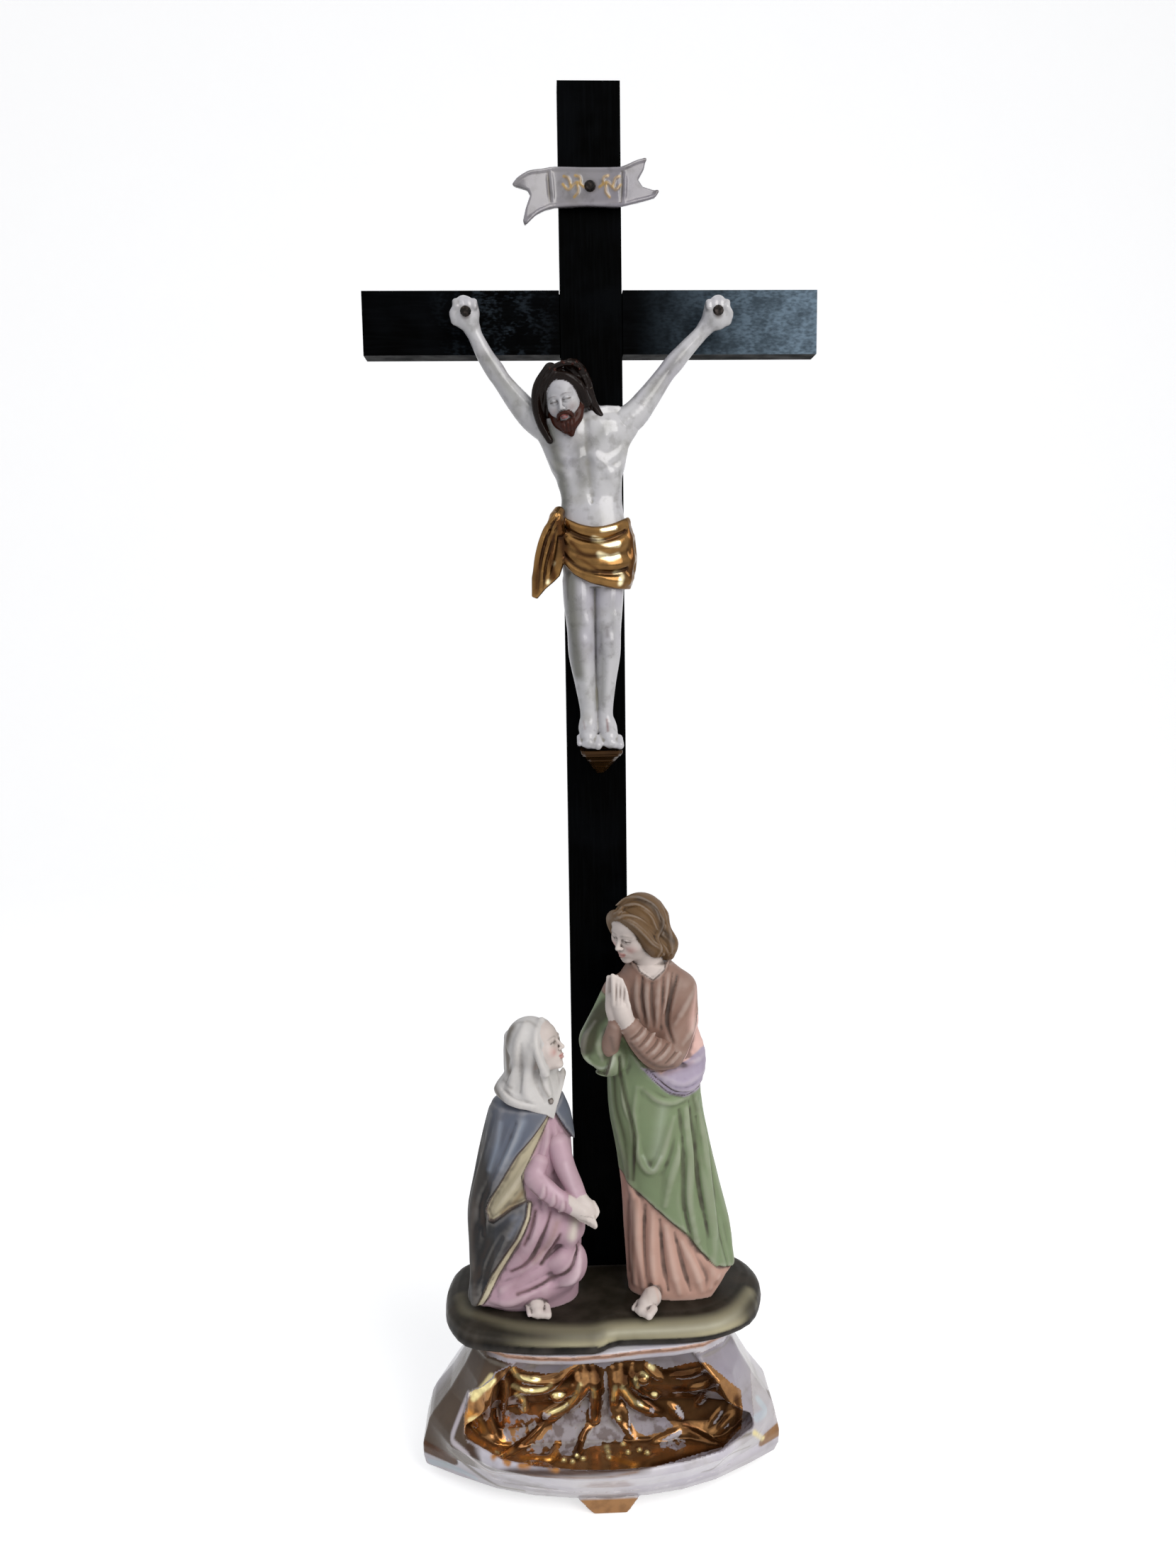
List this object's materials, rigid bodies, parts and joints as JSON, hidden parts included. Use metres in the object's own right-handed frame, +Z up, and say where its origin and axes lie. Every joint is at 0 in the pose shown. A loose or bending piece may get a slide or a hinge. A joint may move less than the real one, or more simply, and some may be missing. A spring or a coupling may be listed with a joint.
{
  "type": "holy water font",
  "caption": "Standing holy water font: porcelain basin base, bisque ground with a kneeling and a standing mourner, wooden cross with a porcelain corpus and a scroll.",
  "frame": {"origin": "on the surface that the font stands on, under the middle of its overall width and depth", "axes": "+Z up along the cross, -Y towards the front where the basin opens, +X to the right seen from the front"},
  "size_m": [0.1476, 0.08, 0.46],
  "materials": {
    "white_glaze": "glossy white glaze with worn gilding in the basin",
    "ground_bisque": "matt dark olive bisque, paler towards the front edge",
    "cloak_bisque": "matt painted bisque, blue cloak over a pink dress",
    "veil_bisque": "matt painted bisque, off white",
    "flesh_bisque": "matt flesh bisque",
    "mantle_bisque": "matt painted bisque, green mantle over a salmon robe",
    "hair_bisque": "matt painted bisque, brown hair",
    "ebonised_wood": "ebonised, satin",
    "dark_iron": "dark browned iron",
    "corpus_glaze": "glossy pale grey glaze, grime in the hollows",
    "corpus_hair": "glossy dark red-brown glaze",
    "bright_gilt": "polished gilding over glaze",
    "dark_gilt": "darkened gilding"
  },
  "bodies": {
    "font": {"font_base": "white_glaze"},
    "calvary_group": {"terrace": "ground_bisque", "kneeling_figure_body": "cloak_bisque", "kneeling_figure_head": "veil_bisque", "kneeling_figure_hands": "flesh_bisque", "standing_figure_body": "mantle_bisque", "standing_figure_head": "hair_bisque", "standing_figure_hands": "flesh_bisque"},
    "cross": {"cross_upright": "ebonised_wood", "crossbar": "ebonised_wood", "lap_pin": "dark_iron", "corpus_body": "corpus_glaze", "corpus_head": "corpus_hair", "corpus_left_arm": "corpus_glaze", "corpus_right_arm": "corpus_glaze", "loincloth": "bright_gilt", "foot_rest": "dark_gilt", "left_hand_nail": "dark_iron", "right_hand_nail": "dark_iron", "titulus_nail": "dark_iron"},
    "titulus": {"titulus_scroll": "white_glaze"}
  },
  "joints": [
    {"name": "group_lift", "type": "slide", "parent": "font", "child": "calvary_group", "axis": [0, 0, 1], "range_m": [0, 0.025]},
    {"name": "cross_lift", "type": "slide", "parent": "font", "child": "cross", "axis": [0, 0, 1], "range_m": [0, 0.06]},
    {"name": "titulus_swivel", "type": "hinge", "parent": "cross", "child": "titulus", "pos_m": [0, 0.017, 0.4275], "axis": [0, -1, 0], "range_deg": [-15, 15]}
  ]
}
